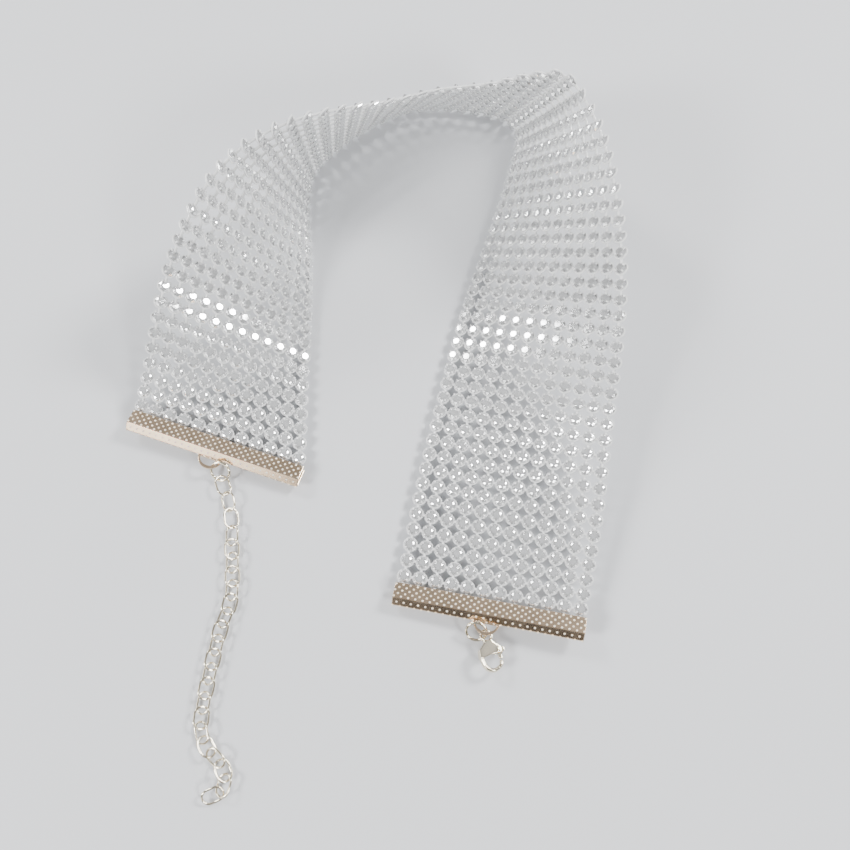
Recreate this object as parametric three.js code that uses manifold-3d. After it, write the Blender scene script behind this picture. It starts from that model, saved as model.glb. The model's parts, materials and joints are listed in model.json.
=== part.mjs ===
// An open choker that lies on a table: a wide net of round clear stones, a crimp clamp on each end,
// a lobster clasp on one and an extender chain on the other. Millimetres, +Z up, X across, Y away.
import * as THREE from "three";
import { mergeVertices } from "three/addons/utils/BufferGeometryUtils.js";
import Module from "manifold-3d";

const wasm = await Module();
wasm.setup();

// Driving dimensions, in millimetres and degrees
const bandWidth = 49.8;
const netLength = 308.8;
const stonePitch = 4.15;
const rowPitch = 4.23;
const stoneTable = 1.15;
const crownHeight = 0.75;
const netThickness = 1.1;
const backRowStep = 1;
const backColumnStep = 4;
const footHeight = 2.0;
const clearance = 0.3;

const clampOverhang = 0.1;
const clampDepth = 5.6;
const clampThickness = 3.0;
const clampWall = 0.5;
const clampRoll = 15;
const foldRound = 0.9;
const foldLean = 1.3;
const tongueThickness = 0.9;
const tabWidth = 7.3;
const tabReach = 3.3;
const tabBar = 0.9;
const tabThickness = 0.6;

const ringDiameter = 6.0;
const ringWire = 0.75;
const ringTilt = 38;
const ringSide = 2.1;
const leftRingSeat = 1.6;

const linkCount = 23;
const linkLength = 6.0;
const linkWidth = 4.3;
const linkWire = 0.58;
const linkRoll = 27;
const tautLinks = 3;
const linkPlay = 0.1;

const claspThickness = 2.2;
const claspWidth = 6.2;
const claspReach = 11.2;
const claspEye = 3.6;
const claspEyeWire = 0.75;
const hookWire = 1.15;
const hookRounding = 0.1;
const collarHalf = 0.9;
const neckHalf = 1.2;
const neckRise = 2.2;
const shoulderInset = 0.2;
const shoulderRise = 0.6;
const shoulderDrop = 1.4;
const cheekReach = 1.0;
const cheekRise = 0.7;
const cheekDrop = 0.8;
const leverThickness = 0.9;
const leverRoot = 1.0;
const thumbReach = 1.0;
const thumbRise = 0.5;
const thumbDrop = 0.3;
const leverNeck = 1.3;
const leverInset = 0.3;
const slotHeight = 4.0;
const slotDrop = 0.55;
const pivotInset = 0.6;
const pivotShare = 0.45;
const tipInset = 0.15;
const tipShare = 0.76;
const pinDiameter = 0.8;
const clearanceAtPin = 0.22;

// How the net lies, a row for each section from the clasp end: share of its length, place of the
// foot edge as shares of its length, the way a row of stones rises from the foot, and how far its
// stones are drawn apart or together.
const bandSections = [
  { share: 0, footX: -0.018, footY: 0.104, across: 0.98, away: -0.19, up: 0.05, breadth: 1.02 },
  { share: 0.083, footX: -0.002, footY: 0.186, across: 0.96, away: -0.24, up: 0.12, breadth: 1.03 },
  { share: 0.167, footX: 0.017, footY: 0.267, across: 0.94, away: -0.25, up: 0.24, breadth: 1 },
  { share: 0.25, footX: 0.038, footY: 0.348, across: 0.86, away: -0.29, up: 0.43, breadth: 1 },
  { share: 0.333, footX: 0.064, footY: 0.427, across: 0.68, away: -0.33, up: 0.65, breadth: 1 },
  { share: 0.417, footX: 0.088, footY: 0.506, across: 0.42, away: -0.36, up: 0.83, breadth: 1 },
  { share: 0.458, footX: 0.095, footY: 0.547, across: 0.26, away: -0.37, up: 0.89, breadth: 1 },
  { share: 0.479, footX: 0.085, footY: 0.564, across: 0.24, away: -0.35, up: 0.9, breadth: 0.99 },
  { share: 0.5, footX: 0.066, footY: 0.572, across: 0.22, away: -0.39, up: 0.89, breadth: 1 },
  { share: 0.542, footX: 0.025, footY: 0.579, across: 0.22, away: -0.47, up: 0.85, breadth: 1 },
  { share: 0.583, footX: -0.017, footY: 0.576, across: 0.19, away: -0.49, up: 0.85, breadth: 1 },
  { share: 0.625, footX: -0.054, footY: 0.558, across: 0.16, away: -0.46, up: 0.87, breadth: 1 },
  { share: 0.667, footX: -0.087, footY: 0.533, across: 0.11, away: -0.38, up: 0.92, breadth: 1 },
  { share: 0.708, footX: -0.113, footY: 0.501, across: 0.01, away: -0.28, up: 0.96, breadth: 1 },
  { share: 0.75, footX: -0.117, footY: 0.459, across: -0.21, away: -0.16, up: 0.97, breadth: 1 },
  { share: 0.792, footX: -0.114, footY: 0.418, across: -0.42, away: -0.06, up: 0.91, breadth: 1 },
  { share: 0.833, footX: -0.112, footY: 0.376, across: -0.61, away: 0.02, up: 0.79, breadth: 0.96 },
  { share: 0.875, footX: -0.112, footY: 0.334, across: -0.78, away: 0.13, up: 0.62, breadth: 0.92 },
  { share: 0.917, footX: -0.113, footY: 0.293, across: -0.9, away: 0.23, up: 0.38, breadth: 0.91 },
  { share: 0.958, footX: -0.113, footY: 0.251, across: -0.95, away: 0.29, up: 0.16, breadth: 0.95 },
  { share: 1, footX: -0.113, footY: 0.209, across: -0.95, away: 0.32, up: 0.02, breadth: 1.02 },
];

// The extender chain's route over the table, from its ring to its free end
const chainRoute = [
  { x: 0.8, y: -3.6, z: 1.5 },
  { x: 2.6, y: -8.4, z: 1.45 },
  { x: 3.7, y: -13.2, z: 1.45 },
  { x: 4.1, y: -18.2, z: 1.45 },
  { x: 4.8, y: -34.2, z: 1.45 },
  { x: 2.7, y: -41.6, z: 1.45 },
  { x: 0.1, y: -56.0, z: 1.45 },
  { x: -0.7, y: -62.8, z: 1.45 },
  { x: -0.5, y: -67.0, z: 1.45 },
  { x: 1.4, y: -71.0, z: 1.45 },
  { x: 4.8, y: -74.6, z: 1.45 },
  { x: 6.1, y: -78.0, z: 1.45 },
  { x: 5.2, y: -81.0, z: 1.45 },
  { x: 3.4, y: -81.8, z: 1.45 },
];

// The hook's bend from its straight side, as shares of its half width and of its depth
const hookBend = [
  { x: -1, y: 0.66 },
  { x: -0.72, y: 0.9 },
  { x: 0, y: 1 },
  { x: 0.8, y: 0.9 },
];

// The lobster clasp's place from its ring: turned about the vertical, then rolled and dipped
const claspTurn = 11;
const claspRoll = 14;
const claspDip = -6;
const claspEyeOffset = { x: 2.5, y: -1.1, z: -0.5 };

const stonesAcross = Math.round(bandWidth / stonePitch);
const stoneRows = Math.round(netLength / rowPitch);
const bandJoinRow = Math.ceil(stoneRows / 2);
const bandLength = (stoneRows - 1) * rowPitch;
const clampLength = stonesAcross * stonePitch + 2 * clampOverhang;
const radians = THREE.MathUtils.degToRad;
const vertical = new THREE.Vector3(0, 0, 1);

const finishes = {
  net: new THREE.MeshStandardMaterial({ color: 0xe8ecec, roughness: 0.15, metalness: 0.0 }),
  gold: new THREE.MeshStandardMaterial({ color: 0xcdb69a, roughness: 0.22, metalness: 1.0 }),
  paleGold: new THREE.MeshStandardMaterial({ color: 0xd8cdb8, roughness: 0.25, metalness: 1.0 }),
};

const choker = new THREE.Group();

function addPiece(name, geometry, material, parent = choker) {
  const mesh = new THREE.Mesh(geometry, material);
  mesh.name = name;
  parent.add(mesh);
  return mesh;
}

// Solids

function toSolid(geometry) {
  const bare = geometry.clone();
  bare.deleteAttribute("normal");
  bare.deleteAttribute("uv");
  const merged = mergeVertices(bare, 1e-4);
  const corners = merged.index.array;
  const kept = [];
  for (let k = 0; k < corners.length; k += 3) {
    const [a, b, c] = corners.slice(k, k + 3);
    if (a !== b && b !== c && c !== a) kept.push(a, b, c);
  }
  return new wasm.Manifold(
    new wasm.Mesh({
      numProp: 3,
      vertProperties: new Float32Array(merged.attributes.position.array),
      triVerts: new Uint32Array(kept),
    }),
  );
}

function toGeometry(solid) {
  const mesh = solid.getMesh();
  const geometry = new THREE.BufferGeometry();
  geometry.setAttribute("position", new THREE.BufferAttribute(mesh.vertProperties, 3));
  geometry.setIndex(new THREE.BufferAttribute(mesh.triVerts, 1));
  return geometry;
}

function joined(...geometries) {
  return toGeometry(geometries.map(toSolid).reduce((whole, next) => whole.add(next)));
}

function cutBy(geometry, ...cutters) {
  return toGeometry(cutters.map(toSolid).reduce((left, cutter) => left.subtract(cutter), toSolid(geometry)));
}

// Smooth value of a table's column at a share of the length

function columnAt(table, column, share) {
  const last = table.length - 1;
  let k = 0;
  while (k < last - 1 && table[k + 1].share < share) k += 1;
  const slope = (i) => {
    const before = table[Math.max(i - 1, 0)];
    const after = table[Math.min(i + 1, last)];
    return (after[column] - before[column]) / (after.share - before.share);
  };
  const step = table[k + 1].share - table[k].share;
  const t = (share - table[k].share) / step;
  const t2 = t * t;
  const t3 = t2 * t;
  return (
    (2 * t3 - 3 * t2 + 1) * table[k][column] +
    (t3 - 2 * t2 + t) * step * slope(k) +
    (3 * t2 - 2 * t3) * table[k + 1][column] +
    (t3 - t2) * step * slope(k + 1)
  );
}

// The foot edge as a curve of the band's own length, so that the rows keep their pitch along it

class FootEdge extends THREE.Curve {
  getPoint(share, target = new THREE.Vector3()) {
    return target.set(
      bandLength * columnAt(bandSections, "footX", share),
      bandLength * columnAt(bandSections, "footY", share),
      0,
    );
  }
}

const footEdge = new FootEdge();
footEdge.arcLengthDivisions = 800;
const footScale = bandLength / footEdge.getLength();

// A row's place may be a half row beyond the ends, for the edge of the net there
function rowAt(row) {
  const last = stoneRows - 1;
  const share = THREE.MathUtils.clamp(row / last, 0, 1);
  const foot = footEdge.getPointAt(share).multiplyScalar(footScale);
  const along = footEdge.getTangentAt(share);
  const beyond = row < 0 ? row : Math.max(row - last, 0);
  foot.addScaledVector(along, beyond * rowPitch);
  foot.z = footHeight;
  const rise = new THREE.Vector3(
    columnAt(bandSections, "across", share),
    columnAt(bandSections, "away", share),
    columnAt(bandSections, "up", share),
  ).normalize();
  const face = new THREE.Vector3().crossVectors(rise, along).normalize();
  const spacing = stonePitch * columnAt(bandSections, "breadth", share);
  return { foot, rise, face, spacing };
}

// A point of the net: row and column may be halves, height is above the net's middle face
function netPoint(row, column, height) {
  const { foot, rise, face, spacing } = rowAt(row);
  return foot.addScaledVector(rise, column * spacing).addScaledVector(face, height);
}

// Clamp place: at the edge of the net's end row, rolled about that edge, X along it and Y outwards

function clampFrame(end) {
  const edgeRow = end === "right" ? -0.5 : stoneRows - 0.5;
  const { rise, face } = rowAt(edgeRow);
  const outwards = new THREE.Vector3().crossVectors(face, rise);
  if (end === "right") outwards.negate();
  const roll = radians(clampRoll);
  const y = outwards.clone().multiplyScalar(Math.cos(roll)).addScaledVector(face, Math.sin(roll));
  const z = face.clone().multiplyScalar(Math.cos(roll)).addScaledVector(outwards, -Math.sin(roll));
  const x = new THREE.Vector3().crossVectors(y, z);
  const frame = new THREE.Matrix4().makeBasis(x, y, z);
  return frame.setPosition(netPoint(edgeRow, (stonesAcross - 1) / 2, 0));
}

// The net

class Skin {
  constructor() {
    this.places = [];
    this.faces = [];
  }
  point(place) {
    this.places.push(place.x, place.y, place.z);
    return this.places.length / 3 - 1;
  }
  face(a, b, c) {
    this.faces.push(a, b, c);
  }
  // A wall between two lines of points that run the same way, the first one on the upper side
  wall(upper, lower) {
    let a = 0;
    let b = 0;
    while (a < upper.length - 1 || b < lower.length - 1) {
      const nextUpper = (a + 1) / (upper.length - 1 || 1);
      const nextLower = (b + 1) / (lower.length - 1 || 1);
      if (b >= lower.length - 1 || (a < upper.length - 1 && nextUpper <= nextLower)) {
        this.face(upper[a + 1], upper[a], lower[b]);
        a += 1;
      } else {
        this.face(upper[a], lower[b], lower[b + 1]);
        b += 1;
      }
    }
  }
  geometry() {
    const geometry = new THREE.BufferGeometry();
    geometry.setAttribute("position", new THREE.Float32BufferAttribute(this.places, 3));
    geometry.setIndex(this.faces);
    return geometry;
  }
}

// Steps from first to last, always with both ends
function steps(first, last, step) {
  const count = Math.max(1, Math.round((last - first) / step));
  return Array.from({ length: count + 1 }, (_, k) => first + ((last - first) * k) / count);
}

// Cut stones on the upper face, each a square table with eight facets down to its girdle, with a
// flat diamond between four of them. The back is one plain sheet.
function netHalf(firstRow, lastRow, clampedEnd) {
  const skin = new Skin();
  const tableCorner = stoneTable / stonePitch / Math.SQRT2;
  const joinGap = clearance / 2 / rowPitch;
  const firstEdge = clampedEnd === "right" ? firstRow - 0.5 : firstRow - 0.5 + joinGap;
  const lastEdge = clampedEnd === "left" ? lastRow + 0.5 : lastRow + 0.5 - joinGap;
  const girdle = netThickness / 2;
  const sides = [];
  const ends = [];
  for (let row = firstRow; row <= lastRow + 1; row += 1) {
    const edge = row === firstRow ? firstEdge : row === lastRow + 1 ? lastEdge : row - 0.5;
    ends[row] = steps(0, stonesAcross - 1, 1).map((c) => skin.point(netPoint(edge, c, girdle)));
    if (row <= lastRow) {
      sides[row] = steps(-0.5, stonesAcross - 0.5, 1).map((c) => skin.point(netPoint(row, c, girdle)));
    }
  }
  for (let row = firstRow; row <= lastRow; row += 1) {
    for (let c = 0; c < stonesAcross; c += 1) {
      const corner = (du, dv) => {
        const place = netPoint(row + dv * tableCorner, c + du * tableCorner, girdle + crownHeight);
        return skin.point(place);
      };
      const corners = [corner(1, -1), corner(1, 1), corner(-1, 1), corner(-1, -1)];
      const waist = [ends[row][c], sides[row][c + 1], ends[row + 1][c], sides[row][c]];
      skin.face(corners[0], corners[1], corners[2]);
      skin.face(corners[0], corners[2], corners[3]);
      for (let k = 0; k < 4; k += 1) {
        const next = (k + 1) % 4;
        skin.face(waist[k], waist[next], corners[k]);
        skin.face(waist[next], corners[next], corners[k]);
      }
    }
    for (let c = 0; c < stonesAcross - 1; c += 1) {
      if (row === firstRow) skin.face(ends[row][c], ends[row][c + 1], sides[row][c + 1]);
      if (row === lastRow) skin.face(ends[row + 1][c], sides[row][c + 1], ends[row + 1][c + 1]);
      if (row < lastRow) {
        skin.face(ends[row + 1][c], sides[row][c + 1], ends[row + 1][c + 1]);
        skin.face(ends[row + 1][c], ends[row + 1][c + 1], sides[row + 1][c + 1]);
      }
    }
    if (row < lastRow) {
      skin.face(sides[row][0], ends[row + 1][0], sides[row + 1][0]);
      skin.face(sides[row][stonesAcross], sides[row + 1][stonesAcross], ends[row + 1][stonesAcross - 1]);
    }
  }
  const backRows = steps(firstEdge, lastEdge, backRowStep);
  const backColumns = steps(-0.5, stonesAcross - 0.5, backColumnStep);
  const back = backRows.map((row) => backColumns.map((c) => skin.point(netPoint(row, c, -girdle))));
  for (let r = 0; r < backRows.length - 1; r += 1) {
    for (let c = 0; c < backColumns.length - 1; c += 1) {
      skin.face(back[r][c], back[r + 1][c], back[r + 1][c + 1]);
      skin.face(back[r][c], back[r + 1][c + 1], back[r][c + 1]);
    }
  }
  const rows = steps(firstRow, lastRow, 1);
  const lastColumn = backColumns.length - 1;
  const lastBack = backRows.length - 1;
  const start = [sides[firstRow][0], ...ends[firstRow], sides[firstRow][stonesAcross]];
  const finish = [sides[lastRow][stonesAcross], ...ends[lastRow + 1].toReversed(), sides[lastRow][0]];
  skin.wall(rows.map((row) => sides[row][stonesAcross]), back.map((line) => line[lastColumn]));
  skin.wall(rows.toReversed().map((row) => sides[row][0]), back.toReversed().map((line) => line[0]));
  const startBack = back[0];
  const finishBack = back[lastBack].toReversed();
  if (clampedEnd === "right") {
    tongue(skin, start, startBack, "right");
    skin.wall(finish, finishBack);
  } else {
    skin.wall(start, startBack);
    tongue(skin, finish, finishBack, "left");
  }
  return skin.geometry();
}

// The end of the net that the clamp bites: a flat tongue as far as the middle of the channel
function tongue(skin, upper, lower, end) {
  const frame = clampFrame(end);
  const half = (stonesAcross / 2) * stonePitch - 2 * clearance;
  const reach = clampDepth / 2;
  const place = (x, z) => skin.point(new THREE.Vector3(x, reach, z).applyMatrix4(frame));
  const z = tongueThickness / 2;
  const top = [place(half, z), place(-half, z)];
  const under = [place(half, -z), place(-half, -z)];
  skin.wall(upper, top);
  skin.wall(top, under);
  skin.wall(under, lower);
  skin.face(upper[0], lower[0], under[0]);
  skin.face(upper[0], under[0], top[0]);
  skin.face(upper.at(-1), top[1], under[1]);
  skin.face(upper.at(-1), under[1], lower.at(-1));
}

// Crimp clamp: a folded channel whose fold leans in to the upper wall, with a half round tab low on it

function crimpClamp() {
  const half = clampThickness / 2;
  const inner = half - clampWall;
  const lip = clearance;
  const fold = lip + clampDepth;
  const profile = new THREE.Shape();
  profile.moveTo(lip, half);
  profile.lineTo(lip, inner);
  profile.lineTo(fold - foldLean - clampWall / 2, inner);
  profile.lineTo(fold - foldRound + clampWall / 2, -inner / 2);
  profile.lineTo(fold - foldRound, -inner);
  profile.lineTo(lip, -inner);
  profile.lineTo(lip, -half);
  profile.lineTo(fold - foldRound, -half);
  profile.absarc(fold - foldRound, -half + foldRound, foldRound, -Math.PI / 2, 0, false);
  profile.lineTo(fold - foldLean, half);
  profile.closePath();
  const channel = new THREE.ExtrudeGeometry(profile, {
    depth: clampLength,
    bevelEnabled: false,
    curveSegments: 3,
  });
  const turn = new THREE.Matrix4().makeBasis(
    new THREE.Vector3(0, 1, 0),
    new THREE.Vector3(0, 0, 1),
    new THREE.Vector3(1, 0, 0),
  );
  channel.applyMatrix4(turn).translate(-clampLength / 2, 0, 0);
  const tab = new THREE.Shape();
  const root = fold - 2 * clampWall;
  const reach = tabReach + 2 * clampWall;
  tab.moveTo(tabWidth / 2, 0);
  tab.absellipse(0, 0, tabWidth / 2, reach, 0, Math.PI, false);
  tab.closePath();
  const hole = new THREE.Path();
  const holeFoot = 2 * clampWall + clearance;
  hole.moveTo(-tabWidth / 2 + tabBar, holeFoot);
  hole.absellipse(0, holeFoot, tabWidth / 2 - tabBar, reach - tabBar - holeFoot, Math.PI, 0, true);
  hole.closePath();
  tab.holes.push(hole);
  const plate = new THREE.ExtrudeGeometry(tab, {
    depth: tabThickness,
    bevelEnabled: false,
    curveSegments: 8,
  });
  plate.translate(0, root, -half + foldRound / 2);
  return joined(channel, plate);
}

// Where a ring passes through a tab, in the clamp's own frame
function tabHole() {
  const holeDepth = tabReach - tabBar - clearance;
  const y = clearance + clampDepth + clearance + holeDepth / 2;
  return new THREE.Vector3(0, y, (foldRound + tabThickness - clampThickness) / 2);
}

// Bent wire

function wireRing(diameter, wire) {
  const around = 16;
  const section = 6;
  return new THREE.TorusGeometry((diameter - wire) / 2, wire / 2, section, around);
}

// A ring hangs in the tab's hole, at a seat beside the hole's middle: it lies to one side of its
// seat and dips away from the clamp
function ringFrame(end, side, seat) {
  const frame = clampFrame(end);
  const hole = tabHole().applyMatrix4(frame);
  const across = new THREE.Vector3(1, 0, 0).transformDirection(frame);
  across.z = 0;
  across.normalize();
  const outwards = new THREE.Vector3(0, 1, 0).transformDirection(frame);
  outwards.z = 0;
  outwards.normalize();
  const tilt = radians(ringTilt);
  const dip = outwards.multiplyScalar(Math.cos(tilt)).addScaledVector(vertical, -Math.sin(tilt));
  const radius = (ringDiameter - ringWire) / 2;
  const centre = hole
    .addScaledVector(across, side * (seat + ringSide))
    .addScaledVector(dip, Math.sqrt(radius * radius - ringSide * ringSide));
  const normal = new THREE.Vector3().crossVectors(across, dip);
  const x = across.clone();
  const y = new THREE.Vector3().crossVectors(normal, x);
  return new THREE.Matrix4().makeBasis(x, y, normal).setPosition(centre);
}

class OvalPath extends THREE.Curve {
  constructor(length, width) {
    super();
    this.round = width / 2;
    this.straight = length - width;
  }
  getPoint(share, target = new THREE.Vector3()) {
    const angle = share * 2 * Math.PI;
    const shift = (Math.sign(Math.cos(angle)) * this.straight) / 2;
    return target.set(this.round * Math.cos(angle) + shift, this.round * Math.sin(angle), 0);
  }
}

// A link as a closed tube: rings of five points round an oval
function linkGeometry() {
  const around = 12;
  const section = 5;
  const path = new OvalPath(linkLength - linkWire, linkWidth - linkWire);
  const skin = new Skin();
  const rings = [];
  for (let k = 0; k < around; k += 1) {
    const angle = ((k + 0.5) / around) * 2 * Math.PI;
    const centre = path.getPoint((k + 0.5) / around);
    const out = new THREE.Vector3(Math.cos(angle), Math.sin(angle), 0);
    rings.push(
      Array.from({ length: section }, (_, s) => {
        const turn = (s / section) * 2 * Math.PI;
        const place = centre.clone().addScaledVector(out, (linkWire / 2) * Math.cos(turn));
        place.z = (linkWire / 2) * Math.sin(turn);
        return skin.point(place);
      }),
    );
  }
  for (let k = 0; k < around; k += 1) {
    const next = (k + 1) % around;
    for (let s = 0; s < section; s += 1) {
      const up = (s + 1) % section;
      skin.face(rings[k][s], rings[next][s], rings[next][up]);
      skin.face(rings[k][s], rings[next][up], rings[k][up]);
    }
  }
  return skin.geometry();
}

// The extender chain: each link lies along the route, rolled to the other side than the one before

function extenderChain(origin) {
  const route = new THREE.CatmullRomCurve3(
    chainRoute.map(({ x, y, z }) => new THREE.Vector3(origin.x + x, origin.y + y, z)),
    false,
    "centripetal",
  );
  route.arcLengthDivisions = 600;
  const whole = route.getLength();
  const taut = linkLength - 2 * linkWire - linkPlay;
  const slack = (whole - tautLinks * taut) / (linkCount - 1 - tautLinks);
  const geometry = linkGeometry();
  for (let k = 0; k < linkCount; k += 1) {
    const distance = Math.min(k, tautLinks) * taut + Math.max(k - tautLinks, 0) * slack;
    const share = Math.min(distance / whole, 1);
    const along = route.getTangentAt(share);
    const side = new THREE.Vector3().crossVectors(vertical, along).normalize();
    const face = new THREE.Vector3().crossVectors(along, side);
    const basis = new THREE.Matrix4().makeBasis(along, side, face);
    const link = addPiece("link_" + String(k + 1).padStart(2, "0"), geometry, finishes.paleGold);
    link.applyMatrix4(new THREE.Matrix4().makeRotationX(radians(k % 2 ? linkRoll : -linkRoll)));
    link.applyMatrix4(basis);
    link.position.add(route.getPointAt(share));
  }
}

// The lobster clasp, eye at the origin, hook along -Y, lever on the +X side

const hookBottom = claspReach - claspEye / 2 - hookWire / 2;
const hookSide = claspWidth / 2 - hookWire / 2;
const pivot = new THREE.Vector3(hookSide - pivotInset, -hookBottom * pivotShare, 0);
const hookTip = new THREE.Vector3(hookSide - tipInset, -hookBottom * tipShare, 0);

function claspBody() {
  const eye = wireRing(claspEye, claspEyeWire);
  const collarTop = -(claspEye - claspEyeWire) / 2 + claspEyeWire / 4;
  const outside = -hookSide - hookWire / 2;
  const shoulder = new THREE.Shape();
  shoulder.moveTo(-collarHalf, collarTop);
  shoulder.lineTo(collarHalf, collarTop);
  shoulder.lineTo(neckHalf, pivot.y + neckRise);
  shoulder.lineTo(pivot.x + cheekReach, pivot.y + cheekRise);
  shoulder.lineTo(pivot.x + cheekReach, pivot.y - cheekDrop);
  shoulder.lineTo(shoulderInset, pivot.y - cheekDrop);
  shoulder.lineTo(outside + hookWire, pivot.y - shoulderDrop);
  shoulder.lineTo(outside, pivot.y - shoulderDrop);
  shoulder.lineTo(outside + shoulderInset, pivot.y + shoulderRise);
  shoulder.lineTo(-neckHalf, pivot.y + neckRise);
  shoulder.closePath();
  const block = new THREE.ExtrudeGeometry(shoulder, { depth: claspThickness, bevelEnabled: false });
  block.translate(0, 0, -claspThickness / 2);
  const slot = new THREE.BoxGeometry(claspWidth, slotHeight, leverThickness + 2 * clearanceAtPin);
  slot.translate(pivot.x - leverRoot - clearance + claspWidth / 2, pivot.y - slotDrop, 0);
  const pin = new THREE.CylinderGeometry(pinDiameter / 2, pinDiameter / 2, claspThickness, 12);
  pin.rotateX(Math.PI / 2).translate(pivot.x, pivot.y, 0);
  const bend = new THREE.CatmullRomCurve3([
    new THREE.Vector3(-hookSide, pivot.y - cheekDrop, 0),
    ...hookBend.map(({ x, y }) => new THREE.Vector3(x * hookSide, -y * hookBottom, 0)),
    hookTip,
  ]);
  const section = new THREE.Shape();
  section.absellipse(0, 0, claspThickness / 2 - hookRounding, hookWire / 2, 0, 2 * Math.PI);
  const hook = new THREE.ExtrudeGeometry(section, {
    extrudePath: bend,
    steps: 16,
    curveSegments: 5,
    bevelEnabled: false,
  });
  return joined(cutBy(joined(eye, block), slot), pin, hook);
}

function claspLever() {
  const end = hookTip.clone().setY(hookTip.y + clearance + hookRounding);
  const arm = new THREE.Shape();
  const root = leverRoot;
  arm.moveTo(pivot.x - root, pivot.y);
  arm.absarc(pivot.x, pivot.y, root, Math.PI, Math.PI / 4, true);
  arm.lineTo(pivot.x + root + thumbReach, pivot.y + thumbRise);
  arm.lineTo(pivot.x + root + thumbReach - hookRounding, pivot.y - thumbDrop);
  arm.lineTo(end.x + hookWire / 2 - hookRounding, pivot.y - leverNeck);
  arm.lineTo(end.x + hookWire / 2 - hookRounding, end.y);
  arm.lineTo(end.x - hookWire / 2 + leverInset, end.y);
  arm.lineTo(end.x - hookWire / 2 + hookRounding, pivot.y - leverNeck);
  arm.closePath();
  const bar = new THREE.ExtrudeGeometry(arm, {
    depth: leverThickness,
    bevelEnabled: false,
    curveSegments: 8,
  });
  bar.translate(0, 0, -leverThickness / 2);
  const boreRadius = pinDiameter / 2 + clearanceAtPin;
  const bore = new THREE.CylinderGeometry(boreRadius, boreRadius, claspThickness, 12);
  bore.rotateX(Math.PI / 2).translate(pivot.x, pivot.y, 0);
  return cutBy(bar, bore);
}

// Assembly

addPiece("band_right", netHalf(0, bandJoinRow - 1, "right"), finishes.net);
addPiece("band_left", netHalf(bandJoinRow, stoneRows - 1, "left"), finishes.net);
for (const end of ["right", "left"]) {
  addPiece("clamp_" + end, crimpClamp(), finishes.gold).applyMatrix4(clampFrame(end));
}
const ringRight = ringFrame("right", 1, 0);
const ringLeft = ringFrame("left", -1, leftRingSeat);
addPiece("ring_right", wireRing(ringDiameter, ringWire), finishes.paleGold).applyMatrix4(ringRight);
addPiece("ring_left", wireRing(ringDiameter, ringWire), finishes.paleGold).applyMatrix4(ringLeft);

const leftCentre = new THREE.Vector3().setFromMatrixPosition(ringLeft);
extenderChain(leftCentre);

const clasp = new THREE.Group();
const rightCentre = new THREE.Vector3().setFromMatrixPosition(ringRight);
clasp.position.copy(rightCentre).add(claspEyeOffset);
clasp.rotation.set(radians(claspDip), radians(claspRoll), radians(claspTurn), "ZYX");
addPiece("clasp_body", claspBody(), finishes.paleGold, clasp);
addPiece("clasp_lever", claspLever(), finishes.paleGold, clasp);
choker.add(clasp);

// The origin is the middle of the footprint, on the table
choker.updateMatrixWorld(true);
const box = new THREE.Box3().setFromObject(choker, true);
const middle = box.getCenter(new THREE.Vector3());
choker.position.set(-middle.x, -middle.y, -box.min.z);

export default choker;
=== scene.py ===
# Open choker necklace on a pale floor: a net of round clear stones in ring cups, a dotted crimp
# clamp on each end, a lobster clasp on one and an extender chain on the other. Metres, +Z up.
import json
import math

import bmesh
import bpy
import numpy as np
from bpy.props import FloatProperty, FloatVectorProperty, PointerProperty
from mathutils import Euler, Matrix, Vector


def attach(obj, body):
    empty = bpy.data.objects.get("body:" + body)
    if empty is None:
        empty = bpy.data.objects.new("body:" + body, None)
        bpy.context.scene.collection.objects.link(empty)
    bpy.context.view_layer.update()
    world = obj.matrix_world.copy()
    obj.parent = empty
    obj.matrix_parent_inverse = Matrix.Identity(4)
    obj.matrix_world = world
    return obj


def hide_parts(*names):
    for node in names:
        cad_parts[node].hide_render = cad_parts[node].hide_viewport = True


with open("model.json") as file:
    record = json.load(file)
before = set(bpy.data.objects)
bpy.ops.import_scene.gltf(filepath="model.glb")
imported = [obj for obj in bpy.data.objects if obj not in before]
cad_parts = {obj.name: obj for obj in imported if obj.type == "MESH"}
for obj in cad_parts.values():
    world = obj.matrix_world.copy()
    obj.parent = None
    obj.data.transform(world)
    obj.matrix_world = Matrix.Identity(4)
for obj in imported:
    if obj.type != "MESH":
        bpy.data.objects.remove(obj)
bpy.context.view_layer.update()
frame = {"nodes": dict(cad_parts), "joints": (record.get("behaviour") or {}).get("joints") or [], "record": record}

bl_info = {
    "name": "Choker necklace of clear stones",
    "version": (1, 0, 0),
    "blender": (4, 5, 0),
    "location": "View3D > Sidebar > Choker",
    "description": "Builds the net, clamps, rings, chain and clasp of an open choker necklace",
    "category": "Object",
}

MM = 0.001

# Net: its pitches across and along, its count of stones and how it lies
STONE_PITCH = 4.15 * MM
ROW_PITCH = 4.23 * MM
STONES_ACROSS = 12
STONE_ROWS = 73
JOIN_ROW = 37
FOOT_HEIGHT = 2.0 * MM
BAND_LENGTH = (STONE_ROWS - 1) * ROW_PITCH

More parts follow.
